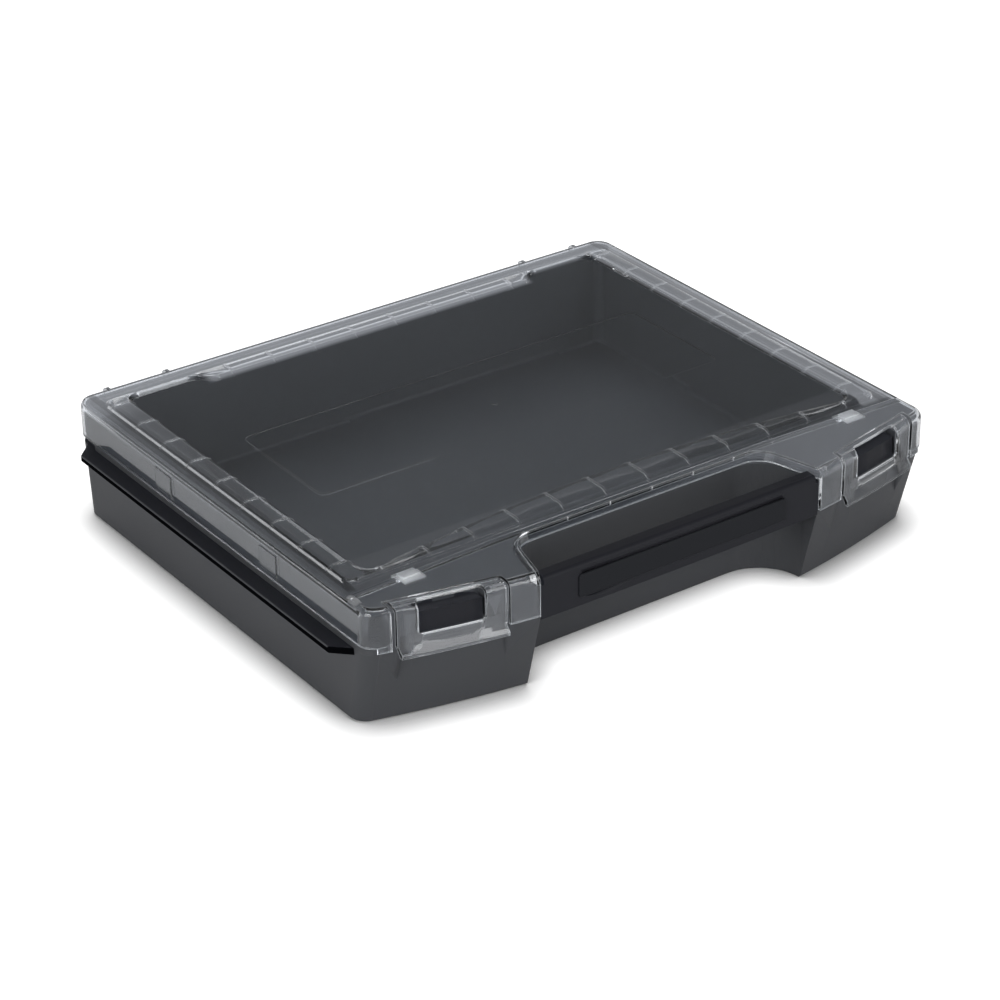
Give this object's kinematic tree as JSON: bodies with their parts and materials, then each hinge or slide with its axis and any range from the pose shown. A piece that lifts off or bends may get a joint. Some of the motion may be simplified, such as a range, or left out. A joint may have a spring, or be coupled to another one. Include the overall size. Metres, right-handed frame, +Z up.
{
  "type": "small parts storage box",
  "caption": "Flat small parts case: dark moulded tray with side rails and a front grip bar, clear hinged lid with flexing latch tabs.",
  "frame": {"origin": "under the middle of the closed box, on the surface it stands on", "axes": "+X along the handle side to the right, +Y from the handle side to the hinges, +Z up through the lid"},
  "size_m": [0.385, 0.317, 0.0727],
  "materials": {
    "tray_plastic": "fine moulded texture, dark grey",
    "grip_plastic": "satin, near black",
    "plate_plastic": "smooth satin, blank",
    "clear_plastic": "clear, polished",
    "pin_steel": "drawn wire"
  },
  "bodies": {
    "tray": {"base_tray": "tray_plastic", "handle_bar": "grip_plastic", "handle_label_plate": "plate_plastic", "hinge_pin_left": "pin_steel", "hinge_pin_right": "pin_steel"},
    "lid": {"lid": "clear_plastic"},
    "latch_left": {"latch_left": "clear_plastic"},
    "latch_right": {"latch_right": "clear_plastic"}
  },
  "joints": [
    {"name": "lid_hinge", "type": "hinge", "parent": "tray", "child": "lid", "pos_m": [0, 0.1557, 0.0514], "axis": [-1, 0, 0], "range_deg": [0, 110]},
    {"name": "latch_left_flex", "type": "hinge", "parent": "lid", "child": "latch_left", "pos_m": [-0.13744, -0.14212, 0.0706], "axis": [-0.9768, 0.2141, 0], "range_deg": [0, 12], "stiffness_Nm_per_rad": 1.5},
    {"name": "latch_right_flex", "type": "hinge", "parent": "lid", "child": "latch_right", "pos_m": [0.13744, -0.14212, 0.0706], "axis": [-0.9768, -0.2141, 0], "range_deg": [0, 12], "stiffness_Nm_per_rad": 1.5}
  ]
}
